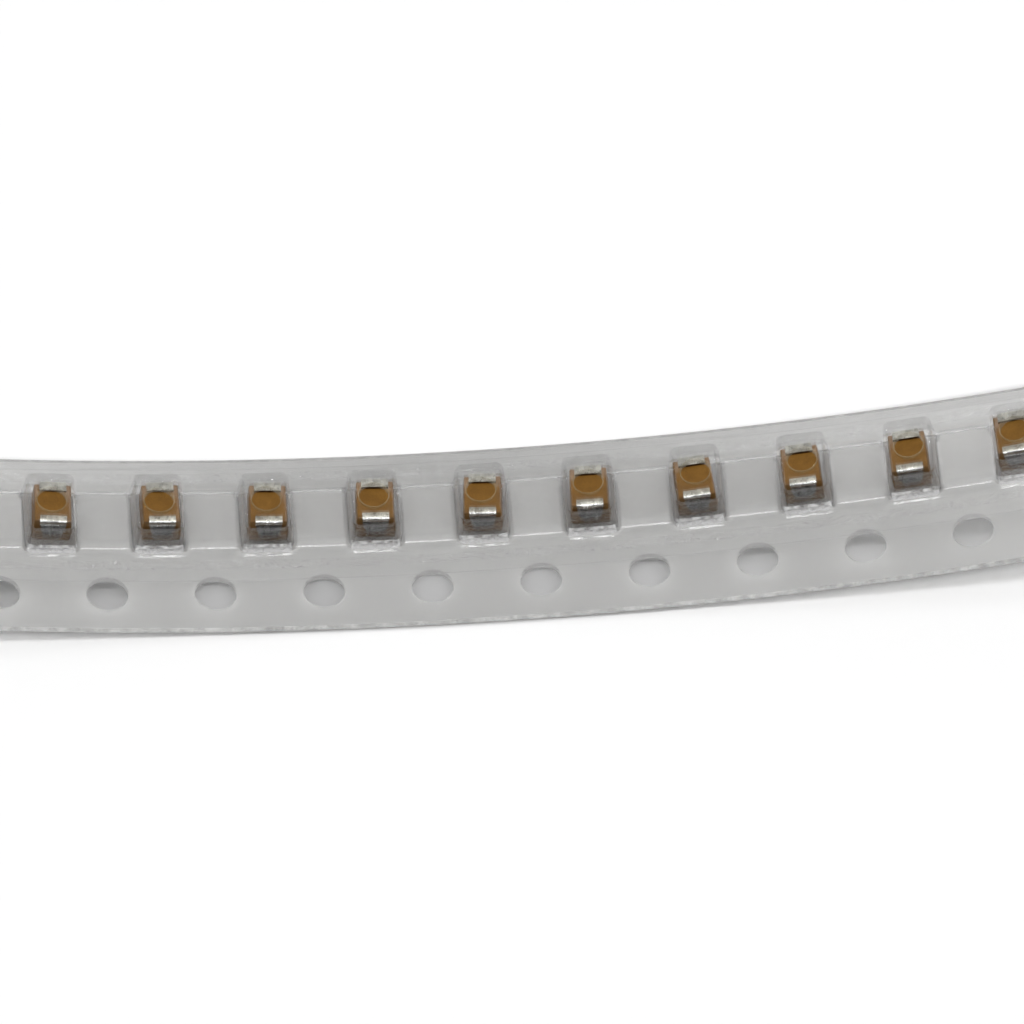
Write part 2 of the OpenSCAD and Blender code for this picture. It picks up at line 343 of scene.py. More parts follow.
def ring_params(a, b, r, cuts):
    """Points round a rounded rectangle of half sizes a and b and corner radius r, as (corner x, corner y, cos, sin) or side fractions. cuts are y values, from the middle, that get a point of their own."""
    ps = []

    def corner(q):
        cx = 1 if q in (0, 3) else -1
        cy = 1 if q in (0, 1) else -1
        angs = [90 * q + 90 * k / 7 for k in range(8)]
        for c in cuts:
            d = c - cy * (b - r)
            if 0 < d * cy < r:
                base_a = math.degrees(math.asin(min(1.0, abs(d) / r)))
                angs.append({0: base_a, 1: 180 - base_a, 2: 180 + base_a, 3: 360 - base_a}[q])
        angs.sort()
        keep = []
        for ang in angs:
            if keep and ang - keep[-1] < 3.0:
                if ang in (90 * q + 90 * k / 7 for k in range(1, 7)):
                    continue
                keep[-1] = ang if abs(keep[-1] - 90 * q) > 1e-6 else keep[-1]
                continue
            keep.append(ang)
        if abs(keep[-1] - (90 * q + 90)) > 1e-6:
            keep[-1] = 90 * q + 90
        return [("c", cx, cy, math.cos(math.radians(g)), math.sin(math.radians(g))) for g in keep]

    def side(kind, n):
        return [(kind, k / n) for k in range(1, n)]

    ps += corner(0) + side("top", 8) + corner(1) + side("left", 12) + corner(2) + side("bottom", 8) + corner(3) + side("right", 12)
    return ps


def ring_point(p, a, b, r):
    if p[0] == "c":
        return p[1] * (a - r) + r * p[3], p[2] * (b - r) + r * p[4]
    t = p[1]
    if p[0] == "top":
        return (a - r) * (1 - 2 * t), b
    if p[0] == "left":
        return -a, (b - r) * (1 - 2 * t)
    if p[0] == "bottom":
        return (a - r) * (2 * t - 1), -b
    return a, (b - r) * (2 * t - 1)


class Builder:
    """Collects a mesh in strip coordinates (mm)."""

    def __init__(self):
        self.v, self.f = [], []
        self.marks = []  # (first face, material number)

    def mark(self, number):
        """Faces added from here on take this material slot."""
        self.marks.append((len(self.f), number))

    def add(self, s, y, h):
        self.v.append((s, y, h))
        return len(self.v) - 1

    def skin(self, rings, closed=True, flip=False):
        """Quads between lists of vertex numbers of equal length."""
        for a, b in zip(rings, rings[1:]):
            n = len(a)
            for i in range(n if closed else n - 1):
                j = (i + 1) % n
                q = (a[i], a[j], b[j], b[i])
                self.f.append(q[::-1] if flip else q)

    def make(self, name, place=curl, merge=0.0004, sharp=38.0, pick=None):
        bm = bmesh.new()
        vs = [bm.verts.new(v) for v in self.v]
        number = 0
        marks = dict(self.marks)
        for k, f in enumerate(self.f):
            number = marks.get(k, number)
            if len(set(f)) == len(f):
                try:
                    bm.faces.new([vs[i] for i in f]).material_index = number
                except ValueError:
                    pass
        bmesh.ops.remove_doubles(bm, verts=bm.verts, dist=merge)
        bmesh.ops.dissolve_degenerate(bm, edges=bm.edges, dist=1e-5)
        bmesh.ops.recalc_face_normals(bm, faces=bm.faces)
        if pick:
            for f in bm.faces:
                f.material_index = pick(f.calc_center_median(), f.normal, f.material_index)
        for v in bm.verts:
            v.co = place(*v.co)
        open_edges = [e for e in bm.edges if len(e.link_faces) != 2]
        for e in open_edges[:6]:
            m_ = (e.verts[0].co + e.verts[1].co) / 2 / MM
            print("  open", name, [round(c, 3) for c in m_], len(e.link_faces))
        open_edges = len(open_edges)
        me = bpy.data.meshes.new(name)
        bm.to_mesh(me)
        bm.free()
        me.shade_smooth()
        me.set_sharp_from_angle(angle=math.radians(sharp))
        o = bpy.data.objects.new(name, me)
        scene.collection.objects.link(o)
        print("MESH", name, "verts", len(me.vertices), "faces", len(me.polygons), "open edges", open_edges)
        return o


def cdt_cell(outline, lines, s_lines, edge_points):
    """Triangles of one 4 mm cell of the sheet, between its pocket's outline and its edges: [(s, y)], [(i, j, k)]."""
    pts, cons, seen = [], [], {}

    def key(p):
        return (round(p[0], 5), round(p[1], 5))

    def put(p):
        k = key(p)
        if k not in seen:
            seen[k] = len(pts)
            pts.append(Vector((p[0], p[1])))
        return seen[k]

    def chain(ps, closed=False):
        ids = [put(p) for p in ps]
        for a, b in zip(ids, ids[1:] + (ids[:1] if closed else [])):
            if a != b:
                cons.append((a, b))

    half = PITCH / 2
    chain(outline, True)
    arc = [(-90 + 180 * k / 24) for k in range(25)]
    left = [(-half + HOLE_R * math.cos(math.radians(g)), HOLE_Y + HOLE_R * math.sin(math.radians(g))) for g in arc]
    rightp = [(half - HOLE_R * math.cos(math.radians(g)), HOLE_Y + HOLE_R * math.sin(math.radians(g))) for g in arc]
    left[0] = (-half, HOLE_Y - HOLE_R); left[-1] = (-half, HOLE_Y + HOLE_R)
    rightp[0] = (half, HOLE_Y - HOLE_R); rightp[-1] = (half, HOLE_Y + HOLE_R)
    chain(left)
    chain(rightp)
    for side in (-half, half):
        low = [y for y in lines if y < HOLE_Y - HOLE_R - 0.02] + [HOLE_Y - HOLE_R]
        high = [HOLE_Y + HOLE_R] + [y for y in lines if y > HOLE_Y + HOLE_R + 0.02]
        chain([(side, y) for y in low])
        chain([(side, y) for y in high])
    for y in (-HALF_W, HALF_W):
        chain([(s, y) for s in edge_points])

    poly = [Vector(p) for p in outline]

    def inside(p):
        x, y = p
        hit = False
        for a, b in zip(poly, poly[1:] + poly[:1]):
            if (a.y > y) != (b.y > y) and x < (b.x - a.x) * (y - a.y) / (b.y - a.y) + a.x:
                hit = not hit
        return hit

    def near(p, gap):
        q = Vector(p)
        for a, b in zip(poly, poly[1:] + poly[:1]):
            ab = b - a
            t = max(0.0, min(1.0, (q - a).dot(ab) / ab.length_squared))
            if (q - (a + ab * t)).length < gap:
                return True
        return any(abs((q - Vector((sx, HOLE_Y))).length - HOLE_R) < gap or (q - Vector((sx, HOLE_Y))).length < HOLE_R for sx in (-half, half))

    for y in lines:
        row = []
        for s in s_lines:
            p = (s, y)
            on_edge = abs(abs(s) - half) < 1e-6 or abs(abs(y) - HALF_W) < 1e-6
            if on_edge:
                if key(p) in seen:
                    row.append(p)
                else:
                    row.append(None)
                continue
            if inside(p) or near(p, 0.022):
                row.append(None)
                continue
            put(p)
            row.append(p)
        for a, b in zip(row, row[1:]):
            if a and b and abs(y) < HALF_W - 1e-6:
                cons.append((put(a), put(b)))
    vs, _, fs, *_ = delaunay_2d_cdt(pts, cons, [], 0, 1e-6)
    tris = []
    for f in fs:
        c = sum((vs[i] for i in f), Vector((0, 0))) / len(f)
        if inside(c) or any((c - Vector((sx, HOLE_Y))).length < HOLE_R * math.cos(math.radians(3.75)) - 1e-4 for sx in (-half, half)):
            continue
        tris.append(tuple(f))
    return [(v.x, v.y) for v in vs], tris


def unique_steps(lo, hi, n):
    return [lo + (hi - lo) * k / n for k in range(n + 1)]


OUT_A, OUT_B, OUT_R = 0.885, 1.31, 0.28  # outside half sizes at the ceiling, and corner radius
IN_A, IN_B, IN_R = 0.81, 1.19, 0.18
CEIL_TOP, CEIL_UNDER = 1.20, 1.00
DRAFT_S, DRAFT_Y = 0.11, 0.20
ROOT_R, CROWN_R = 0.12, 0.16


def make_carrier():
    b = Builder()
    edge_points = unique_steps(-2.0, 2.0, 40)
    s_top = unique_steps(-2.0, 2.0, 20)
    s_under = unique_steps(-2.0, 2.0, 16)

    root = (OUT_A + DRAFT_S + ROOT_R, OUT_B + DRAFT_Y + ROOT_R, OUT_R + ROOT_R)
    params = ring_params(*root, [y - ROW_Y for y in TOP_LINES])
    outline = [(x + POCKET_OFFSET, y + ROW_Y) for x, y in (ring_point(p, *root) for p in params)]
    mouth = (IN_A + DRAFT_S + 0.05, IN_B + DRAFT_Y + 0.05, IN_R + 0.05)
    params_in = ring_params(*mouth, [y - ROW_Y for y in UNDER_LINES])
    outline_in = [(x + POCKET_OFFSET, y + ROW_Y) for x, y in (ring_point(p, *mouth) for p in params_in)]

    top_pts, top_tris = cdt_cell(outline, TOP_LINES, s_top, edge_points)
    under_pts, under_tris = cdt_cell(outline_in, UNDER_LINES, s_under, edge_points)

    for i in range(POCKETS):
        sc = cell_s(i)
        ids = [b.add(sc + s, y, top_h(sc + s, y)) for s, y in top_pts]
        mid = [sum(top_pts[k][1] for k in t) / 3 for t in top_tris]
        sealed = [abs(y + 1.02) < 0.21 or abs(y - 3.15) < 0.20 for y in mid]
        b.f += [tuple(ids[k] for k in t) for t, on in zip(top_tris, sealed) if not on]
        b.mark(3)
        b.f += [tuple(ids[k] for k in t) for t, on in zip(top_tris, sealed) if on]
        b.mark(0)
        ids = [b.add(sc + s, y, under_h(sc + s, y)) for s, y in under_pts]
        b.f += [tuple(ids[k] for k in t)[::-1] for t in under_tris]
        s0 = pocket_s(i)

        # each pocket comes off the tool a little different
        dome = 0.012 + 0.008 * lump(i * 3.7, 0, 1, 2.2)
        lean = 0.012 * lump(i * 5.1, 1.0, 1, 6.1)

        def wall_noise(x, y, h, inner):
            k = 0.006 * lump(s0 + x * 1.3, y + h * 1.1, 0.55, 11.0 + inner) + 0.003 * lump(s0 + x, y - h, 0.22, 21.0 + inner)
            return k

        # outside: root fillet, wall, crown, ceiling
        rings = []
        base = [(x, y, top_h(s0 + x, y + ROW_Y)) for x, y in (ring_point(p, *root) for p in params)]
        rings.append([b.add(s0 + x, y + ROW_Y, h) for x, y, h in base])

        def outer(h_of, extra):
            ring = []
            for p, (_, _, h0) in zip(params, base):
                h = h_of(h0)
                g = max(0.0, (CEIL_TOP - h) / CEIL_TOP)
                a_, b_, r_ = OUT_A + DRAFT_S * g + extra, OUT_B + DRAFT_Y * g + extra, OUT_R + extra
                x, y = ring_point(p, a_, b_, max(r_, 0.03))
                k = wall_noise(x, y, h, 0) * min(1.0, (h - h0) / 0.2) * (1 if extra > -CROWN_R else 0)
                n = math.hypot(x / a_, y / b_) or 1
                x, y = x + k * x / a_ / n + lean * h, y + k * y / b_ / n
                ring.append(b.add(s0 + x, y + ROW_Y, h))
            return ring

        for deg in (18, 36, 54, 72, 90):
            t = math.radians(deg)
            rings.append(outer(lambda h0: h0 + ROOT_R * (1 - math.cos(t)), ROOT_R * (1 - math.sin(t))))
        wall_top = CEIL_TOP - CROWN_R
        for f in (0.08, 0.16, 0.30, 0.46, 0.64, 0.82, 1.0):
            rings.append(outer(lambda h0: (h0 + ROOT_R) * (1 - f) + wall_top * f, 0.0))
        for deg in (15, 30, 45, 60, 75, 90):
            t = math.radians(deg)
            rings.append(outer(lambda h0: wall_top + CROWN_R * math.sin(t), -CROWN_R * (1 - math.cos(t))))
        crown = [b.v[k] for k in rings[-1]]
        hole_top = []
        for f in (0.2, 0.45, 0.7, 0.85, 1.0):
            ring = []
            for q in crown:
                x, y = q[0] - s0, q[1] - ROW_Y
                ang = math.atan2(y, x)
                reach = 0.55 if f == 1.0 else 0.59
                cx, cy = reach * math.cos(ang) + lean * CEIL_TOP, reach * math.sin(ang)
                if f == 0.85:
                    px, py = cx, cy
                else:
                    px, py = x * (1 - f) + cx * f, y * (1 - f) + cy * f
                sink = dome * math.sin(math.pi / 2 * min(1, f * 1.2))
                rim = -0.012 if f == 1.0 else 0.0
                ring.append(b.add(s0 + px, py + ROW_Y, CEIL_TOP - sink + rim + 0.004 * lump(s0 + px, py, 0.5, 31.0)))
            rings.append(ring)
        # slot 7, the fillet and foot of the wall: white, less clear plastic, a painted highlight, kept to the front by
        # carrier_slot
        b.mark(7)
        b.skin(rings[:8])
        b.mark(5)
        b.skin(rings[7:14])
        b.mark(4)
        b.skin(rings[13:-1])
        b.mark(2)
        b.skin(rings[-2:])
        b.mark(0)
        hole_top = rings[-1]

        # inside: mouth, wall, crown, ceiling
        rings = []
        base_in = [(x, y, under_h(s0 + x, y + ROW_Y)) for x, y in (ring_point(p, *mouth) for p in params_in)]
        rings.append([b.add(s0 + x, y + ROW_Y, h) for x, y, h in base_in])

        def inner(h_of, extra):
            ring = []
            for p, (_, _, h0) in zip(params_in, base_in):
                h = h_of(h0)
                g = max(0.0, (CEIL_UNDER - h) / 1.25)
                a_, b_, r_ = IN_A + DRAFT_S * g + extra, IN_B + DRAFT_Y * g + extra, IN_R + extra
                x, y = ring_point(p, a_, b_, max(r_, 0.03))
                k = 0.6 * wall_noise(x, y, h, 1) * min(1.0, (h - h0) / 0.2)
                n = math.hypot(x / a_, y / b_) or 1
                x, y = x + abs(k) * x / a_ / n + lean * h, y + abs(k) * y / b_ / n
                ring.append(b.add(s0 + x, y + ROW_Y, h))
            return ring

        for deg in (30, 60, 90):
            t = math.radians(deg)
            rings.append(inner(lambda h0: h0 + 0.07 * (1 - math.cos(t)), 0.05 * (1 - math.sin(t))))
        wall_top_in = CEIL_UNDER - 0.08
        for f in (0.15, 0.35, 0.6, 0.85, 1.0):
            rings.append(inner(lambda h0: (h0 + 0.07) * (1 - f) + wall_top_in * f, 0.0))
        for deg in (22, 45, 68, 90):
            t = math.radians(deg)
            rings.append(inner(lambda h0: wall_top_in + 0.08 * math.sin(t), -0.08 * (1 - math.cos(t))))
        crown = [b.v[k] for k in rings[-1]]
        # the last rings take their angles from the outer rim, so that the hole's wall can join them
        for f in (0.3, 0.6, 0.85):
            ring = []
            for q in crown:
                x, y = q[0] - s0, q[1] - ROW_Y
                ang = math.atan2(y, x)
                cx, cy = 0.60 * math.cos(ang) + lean * CEIL_UNDER, 0.60 * math.sin(ang)
                px, py = x * (1 - f) + cx * f, y * (1 - f) + cy * f
                ring.append(b.add(s0 + px, py + ROW_Y, CEIL_UNDER + 0.003 * lump(s0 + px, py, 0.5, 41.0)))
            rings.append(ring)
        b.mark(5)
        b.skin(rings[:10], flip=True)
        b.mark(4)
        b.skin(rings[9:], flip=True)
        b.mark(0)
        inner_last = rings[-1]

        # wall of the ceiling's hole, down to a rim that is zipped to the inner ring
        b.mark(2)
        low = []
        for k in hole_top:
            v_ = b.v[k]
            low.append(b.add(v_[0], v_[1], CEIL_UNDER + 0.10))
        rim = []
        for k in hole_top:
            v_ = b.v[k]
            rim.append(b.add(v_[0], v_[1], CEIL_UNDER + 0.002))
        b.skin([hole_top, low, rim])
        b.mark(4)
        zip_rings(b, rim, inner_last, (s0, ROW_Y))
        b.mark(0)

    # walls of the sprocket holes
    b.mark(6)
    for k in range(POCKETS + 1):
        sc = (k - POCKETS / 2) * PITCH
        if k == 0:
            angs = [-90 + 7.5 * j for j in range(25)]
        elif k == POCKETS:
            angs = [90 + 7.5 * j for j in range(25)]
        else:
            angs = [7.5 * j for j in range(48)]
        rings = []
        for f in (0.0, 0.08, 0.3, 0.65, 0.92, 1.0):
            ring = []
            for g in angs:
                x, y = HOLE_R * math.cos(math.radians(g)), HOLE_Y + HOLE_R * math.sin(math.radians(g))
                if abs(abs(g) % 180 - 90) < 1e-6:
                    x = 0.0
                s = sc + x
                t, un = top_h(s, y), under_h(s, y)
                grow = 0.012 if 0 < f < 1 else 0.0
                if 0 < f < 1:
                    grow += 0.006 * lump(s * 3, y * 3 + f * 2, 0.5, 51.0)
                if (k in (0, POCKETS)) and abs(x) < 1e-6:
                    grow = 0.0
                dx, dy = -math.cos(math.radians(g)) * grow, -math.sin(math.radians(g)) * grow
                ring.append(b.add(s + dx, y + dy, t + (un - t) * f))
            rings.append(ring)
        b.skin(rings, closed=k not in (0, POCKETS))

    # slit edges
    b.mark(1)
    ss = [round(-HALF_L + 0.1 * j, 6) for j in range(int(HALF_L * 20) + 1)]
    for side in (-1, 1):
        rings = []
        for f in (0.0, 0.10, 0.35, 0.65, 0.90, 1.0):
            ring = []
            for s in ss:
                y = side * HALF_W
                t, un = top_h(s, y), under_h(s, y)
                out = 0.0
                if 0 < f < 1 and abs(s) < HALF_L - 1e-6:
                    out = 0.010 * math.sin(math.pi * f) + 0.009 * lump(s * 2.2, f * 1.3, 0.35, 61.0 + side)
                ring.append(b.add(s, y + side * out, t + (un - t) * f))
            rings.append(ring)
        b.skin(rings, closed=False)

    # cut ends
    for side in (-1, 1):
        for ys in (
            [y for y in TOP_LINES if y < HOLE_Y - HOLE_R - 0.02] + [HOLE_Y - HOLE_R],
            [HOLE_Y + HOLE_R] + [y for y in TOP_LINES if y > HOLE_Y + HOLE_R + 0.02],
        ):
            yb = [y for y in UNDER_LINES if ys[0] - 1e-6 < y < ys[-1] + 1e-6]
            if abs(yb[0] - ys[0]) > 1e-6:
                yb = [ys[0]] + [y for y in yb if y > ys[0] + 0.02]
            if abs(yb[-1] - ys[-1]) > 1e-6:
                yb = [y for y in yb if y < ys[-1] - 0.02] + [ys[-1]]
            a = [b.add(side * HALF_L, y, top_h(side * HALF_L, y)) for y in ys]
            c = [b.add(side * HALF_L, y, under_h(side * HALF_L, y)) for y in yb]

            def column(y, rows):
                s = side * HALF_L
                return [b.add(s, y, top_h(s, y) + (under_h(s, y) - top_h(s, y)) * f) for f in rows]

            slit_rows, hole_rows = (0.10, 0.35, 0.65, 0.90), (0.08, 0.3, 0.65, 0.92)
            first = column(ys[0], slit_rows if ys[0] < -3.9 else hole_rows)
            last = column(ys[-1], slit_rows if ys[-1] > 3.9 else hole_rows)
            b.f.append(tuple(a + last + c[::-1] + first[::-1]))
    return b


def zip_rings(b, ra, rb, centre):
    """Triangles between two closed rings with different numbers of points, by angle round a centre."""

    def ang(k):
        v_ = b.v[k]
        return math.atan2(v_[1] - centre[1], v_[0] - centre[0]) % (2 * math.pi)

    def turn(ring):
        k = min(range(len(ring)), key=lambda i: ang(ring[i]))
        return ring[k:] + ring[:k]

    ra, rb = turn(ra), turn(rb)
    aa = [ang(k) for k in ra] + [ang(ra[0]) + 2 * math.pi]
    ab = [ang(k) for k in rb] + [ang(rb[0]) + 2 * math.pi]
    i = j = 0
    while i < len(ra) or j < len(rb):
        if j == len(rb) or (i < len(ra) and aa[i + 1] <= ab[j + 1]):
            b.f.append((ra[i], ra[(i + 1) % len(ra)], rb[j % len(rb)]))
            i += 1
        else:
            b.f.append((ra[i % len(ra)], rb[(j + 1) % len(rb)], rb[j]))
            j += 1


def carrier_slot(c, n, k):
    """The fillet's white, less clear plastic, a painted highlight, is kept only in front of a pocket, where two narrow
    bands take the glint material, painted broken highlights; behind it the ceiling and wall are as hazy as the sheet.
    """
    x = (c.x - POCKET_OFFSET) % PITCH - PITCH / 2
    # two narrow bands in front of each pocket: painted broken highlights in the glint material
    if k in (0, 7) and c.z > -0.08 and abs(x) < 0.86 and (-0.605 < c.y < -0.545 or -0.335 < c.y < -0.262):
        return 8
    if k == 7 and (c.y > -0.12 or abs(x) > 0.90):
        return 9
    if k == 2 and c.y < -0.8:
        return 10
    if k in (4, 5) and c.y > 2.28:
        return 6
    if k == 5 and c.y > 0.05:
        return 9
    return k


carrier = make_carrier().make("carrier_tape_formed", pick=carrier_slot)


def make_cover():
    b = Builder()
    ns = 240
    ys = [-1.62, -1.60, -1.55, -1.45, -1.3, -1.2, -1.1, -1.0, -0.9, -0.8, -0.6, -0.4, -0.2, 0.1, 0.4, 0.7, 1.0, 1.3, 1.6,
          1.9, 2.2, 2.5, 2.7, 2.85, 2.95, 3.05, 3.15, 3.25, 3.35, 3.5, 3.6, 3.66, 3.68]

    def lift(s, y):
        """Slack between the seals, where the film spans the pocket mouths."""
        free = max(0.0, math.sin(math.pi * (y + 0.8) / 3.75)) if -0.8 < y < 2.95 else 0.0
        return free * 0.004 * (1 + lump(s, y, 1.7, 71.0))

    top, bot = [], []
    for j in range(ns + 1):
        s = -HALF_L + 2 * HALF_L * j / ns
        top.append([b.add(s, y, -0.256 - min(0.045, lift(s, y)) * 0.0 + min(0.0, wave(s, y))) for y in ys])
        bot.append([b.add(s, y, -0.309 + min(0.0, wave(s, y)) * 0.0) for y in ys])
    b.skin(top, closed=False)
    b.skin(bot, closed=False, flip=True)
    b.mark(1)
    b.skin([[r[0] for r in top], [r[0] for r in bot]], closed=False)
    b.skin([[r[-1] for r in top], [r[-1] for r in bot]], closed=False)
    b.skin([top[0], bot[0]], closed=False)
    b.skin([top[-1], bot[-1]], closed=False)
    return b


cover = make_cover().make("cover_tape_film", merge=0.0)


# ---- materials -------------------------------------------------------------------


def clear_plastic(name, colour, alpha, rough, ior=1.5, clear=0.9, grit=0.25, shine=0.9, tint=1.0, glint=None):
    """Clear sheet. tint scales its mirror reflection; glint (low, from, to, scale) frosts it in a broken pattern of
    white patches, painted glints.
    """
    m = new_material(name)
    n = Nodes(m.node_tree)
    out = n.add("ShaderNodeOutputMaterial")
    p = n.add("ShaderNodeBsdfPrincipled")
    tc = n.add("ShaderNodeTexCoord")
    vec = tc.outputs["Object"]
    fine = n.noise(vec, 9000.0, 2.0)
    slow = n.noise(vec, 900.0, 3.0)
    n.put(p.inputs["Base Color"], n.ramp(slow, [(0.3, (*[c * 0.985 for c in colour], 1)), (0.7, (*colour, 1))]))
    n.put(p.inputs["Roughness"], n.remap(n.math("ADD", n.math("MULTIPLY", fine, 0.4), n.math("MULTIPLY", slow, 0.6)), 0.3, 0.7, rough * 0.6, rough * 1.5))
    p.inputs["IOR"].default_value = ior
    p.inputs["Alpha"].default_value = alpha
    p.inputs["Specular IOR Level"].default_value = shine
    p.inputs["Transmission Weight"].default_value = clear
    p.inputs["Specular Tint"].default_value = (tint, tint, tint, 1)
    if glint:
        low, a, b, scale = glint
        n.put(p.inputs["Transmission Weight"], n.remap(n.noise(vec, scale, 2.0), a, b, clear, low))
    bump = n.add("ShaderNodeBump", {"Strength": grit, "Distance": 0.00001 if grit < 0.5 else 0.00012, "Height": n.math("ADD", fine, n.math("MULTIPLY", slow, 2.0))})
    n.put(p.inputs["Normal"], bump.outputs["Normal"])
    n.t.links.new(p.outputs[0], out.inputs["Surface"])
    return m


def cut_plastic(name, colour, alpha):
    """A punched or slit edge: frosted, so it scatters light instead of bending it. Its lighter and darker patches are
    partly the frosted grain and partly painted glints.
    """
    m = new_material(name)
    n = Nodes(m.node_tree)
    out = n.add("ShaderNodeOutputMaterial")
    p = n.add("ShaderNodeBsdfPrincipled")
    tc = n.add("ShaderNodeTexCoord")
    grain = n.noise(tc.outputs["Object"], 12000.0, 3.0)
    chatter_and_glint = n.noise(tc.outputs["Object"], 2200.0, 2.0)
    # lighter patches along the edge: painted glints over the frosted grain
    n.put(p.inputs["Base Color"], n.ramp(n.math("ADD", n.math("MULTIPLY", grain, 0.4), n.math("MULTIPLY", chatter_and_glint, 0.6)), [(0.35, (*[c * 0.6 for c in colour], 1)), (0.65, (*[min(0.95, c * 1.3) for c in colour], 1))]))
    n.put(p.inputs["Roughness"], n.remap(grain, 0.3, 0.7, 0.30, 0.55))
    p.inputs["IOR"].default_value = 1.3
    p.inputs["Alpha"].default_value = alpha
    bump = n.add("ShaderNodeBump", {"Strength": 0.7, "Distance": 0.00002, "Height": grain})
    n.put(p.inputs["Normal"], bump.outputs["Normal"])
    n.t.links.new(p.outputs[0], out.inputs["Surface"])
    return m


for m_ in (
    clear_plastic("carrier_plastic_clear", (0.98, 0.978, 0.968), CLEAR_ALPHA, 0.08, clear=0.82),
    cut_plastic("carrier_plastic_cut", (0.74, 0.74, 0.72), 0.55),
    cut_plastic("carrier_plastic_rim", (0.36, 0.31, 0.20), 0.30),
    # the seal lines' broken frosting: painted glints
    clear_plastic("carrier_plastic_seal", (0.98, 0.978, 0.968), CLEAR_ALPHA, 0.10, clear=0.82, grit=1.0, glint=(0.68, 0.54, 0.68, 9000.0)),
    clear_plastic("carrier_plastic_ceiling", (0.99, 0.985, 0.975), 0.15, 0.10, clear=1.0, shine=0.3, tint=0.0),
    clear_plastic("carrier_plastic_wall", (0.99, 0.985, 0.975), 0.50, 0.07, clear=1.0, shine=0.2, tint=0.0),
    clear_plastic("carrier_plastic_punched", (0.97, 0.968, 0.955), 0.24, 0.16, clear=0.70, tint=0.3),
    # painted highlight: the white, less clear fillet in front of each pocket
    clear_plastic("carrier_plastic_painted_fillet_highlight", (1.0, 1.0, 1.0), 0.9, 0.16, clear=0.66, grit=1.0),
    # painted highlights: broken bright lines in front of each pocket
    clear_plastic("carrier_plastic_glint", (1.0, 1.0, 1.0), 0.85, 0.16, clear=0.75, grit=1.0, glint=(0.12, 0.38, 0.58, 3000.0)),
    clear_plastic("carrier_plastic_side", (0.99, 0.985, 0.975), 0.45, 0.12, clear=1.0, tint=0.1),
    cut_plastic("carrier_plastic_hole_rim", (0.26, 0.255, 0.24), 0.70),
):
    carrier.data.materials.append(m_)
for m_ in (
    clear_plastic("cover_film_clear", (0.99, 0.99, 0.985), 0.25, 0.06, 1.45, clear=0.75),
    cut_plastic("cover_film_cut", (0.5, 0.5, 0.49), 0.2),
):
    cover.data.materials.append(m_)


def epoxy(name, k):
    m = new_material(name)
    n = Nodes(m.node_tree)
    out = n.add("ShaderNodeOutputMaterial")
    p = n.add("ShaderNodeBsdfPrincipled")
    tc = n.add("ShaderNodeTexCoord")
    vec = tc.outputs["Object"]
    speck = n.noise(vec, 22000.0, 2.0, 0.6)
    cloud = n.noise(vec, 2500.0, 3.0)
    mix = n.math("ADD", n.math("MULTIPLY", speck, 0.6), n.math("MULTIPLY", cloud, 0.4))
    n.put(p.inputs["Base Color"], n.ramp(mix, [(p_, (*[c * k for c in rgb], 1)) for p_, rgb in ((0.35, (0.125, 0.058, 0.009)), (0.5, (0.165, 0.078, 0.012)), (0.68, (0.205, 0.100, 0.018)))]))
    n.put(p.inputs["Roughness"], n.remap(speck, 0.3, 0.7, 0.38, 0.58))
    p.inputs["Specular IOR Level"].default_value = 0.18
    bump = n.add("ShaderNodeBump", {"Strength": 0.5, "Distance": 0.000006, "Height": mix})
    n.put(p.inputs["Normal"], bump.outputs["Normal"])
    n.t.links.new(p.outputs[0], out.inputs["Surface"])
    return m


def tin(name, dark, light, low, high):
    m = new_material(name)
    n = Nodes(m.node_tree)
    out = n.add("ShaderNodeOutputMaterial")
    p = n.add("ShaderNodeBsdfPrincipled")
    tc = n.add("ShaderNodeTexCoord")
    vec = tc.outputs["Object"]
    crinkle = n.noise(vec, 9000.0, 3.0, 0.6)
    slow = n.noise(vec, 3000.0, 2.0)
    n.put(p.inputs["Base Color"], n.ramp(slow, [(0.3, (*dark, 1)), (0.7, (*light, 1))]))
    p.inputs["Metallic"].default_value = 1.0
    n.put(p.inputs["Roughness"], n.remap(crinkle, 0.3, 0.7, low, high))
    dents = n.noise(vec, 2600.0, 1.0)
    bump = n.add("ShaderNodeBump", {"Strength": 0.8, "Distance": 0.00006, "Height": n.math("ADD", n.math("MULTIPLY", crinkle, 0.5), dents)})
    n.put(p.inputs["Normal"], bump.outputs["Normal"])
    n.t.links.new(p.outputs[0], out.inputs["Surface"])
    return m


# the second epoxy is the same brown at 0.6 brightness: painted shade for the moulding's end faces
M_EPOXY, M_EPOXY_SHADED = epoxy("moulded_epoxy_brown", 1.0), epoxy("moulded_epoxy_painted_shade", 0.60)
M_FOOT = tin("tinned_terminal_foot", (0.27, 0.26, 0.22), (0.66, 0.65, 0.58), 0.20, 0.42)
# the bend's tin is lighter than the foot's: a painted highlight where the bend catches the light
M_BEND_HIGHLIGHT = tin("tinned_terminal_painted_highlight", (0.50, 0.50, 0.49), (0.92, 0.92, 0.92), 0.14, 0.34)
# the tab's tin is darker than the foot's: painted shade
M_SHADED_TAB = tin("tinned_terminal_painted_shade", (0.10, 0.10, 0.10), (0.26, 0.26, 0.26), 0.2, 0.4)
# near-black tin: the foot's bare cut edge, and painted shade and a painted dark reflection
M_CUT_END_AND_SHADE = tin("terminal_cut_edge_and_painted_shade", (0.06, 0.045, 0.03), (0.12, 0.09, 0.06), 0.3, 0.5)

